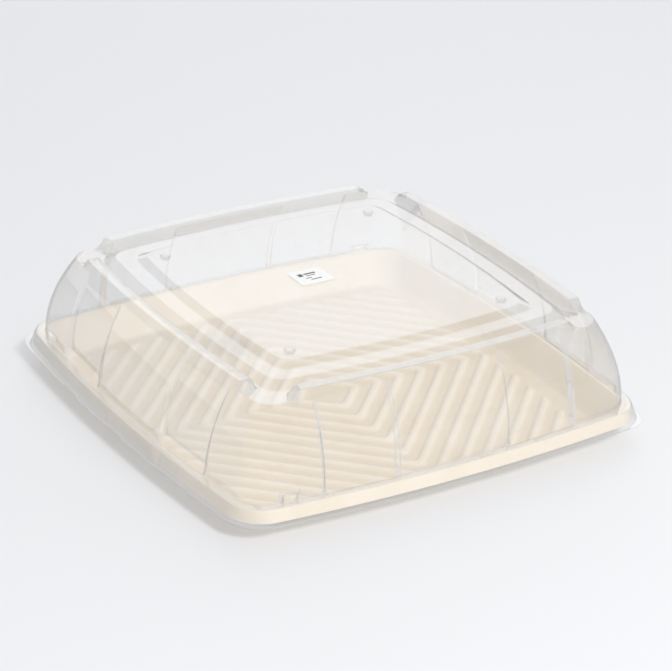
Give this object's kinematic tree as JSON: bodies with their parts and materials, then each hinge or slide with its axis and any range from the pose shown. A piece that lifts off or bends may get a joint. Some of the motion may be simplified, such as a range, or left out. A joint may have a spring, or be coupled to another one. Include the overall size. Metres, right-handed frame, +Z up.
{
  "type": "square catering tray with dome lid",
  "caption": "Square ribbed moulded-fibre tray with bowed sides, under a clear thermoformed dome lid with stepped top, fluted walls and snap-over skirt.",
  "frame": {"origin": "centre of the tray's underside, on the surface it stands on", "axes": "+Z up, through the middle of the tray and dome; X and Y square to the sides"},
  "size_m": [0.406, 0.406, 0.1104],
  "materials": {
    "moulded_fibre": "matte, unbleached plant fibre",
    "clear_sheet": "clear, polished",
    "label_paper": "smooth white paper"
  },
  "bodies": {
    "tray": {"tray": "moulded_fibre"},
    "dome": {"dome_lid": "clear_sheet", "label_sticker": "label_paper"}
  },
  "joints": [
    {"name": "lid_lift", "type": "slide", "parent": "tray", "child": "dome", "axis": [0, 0, 1], "range_m": [0, 0.15]}
  ]
}
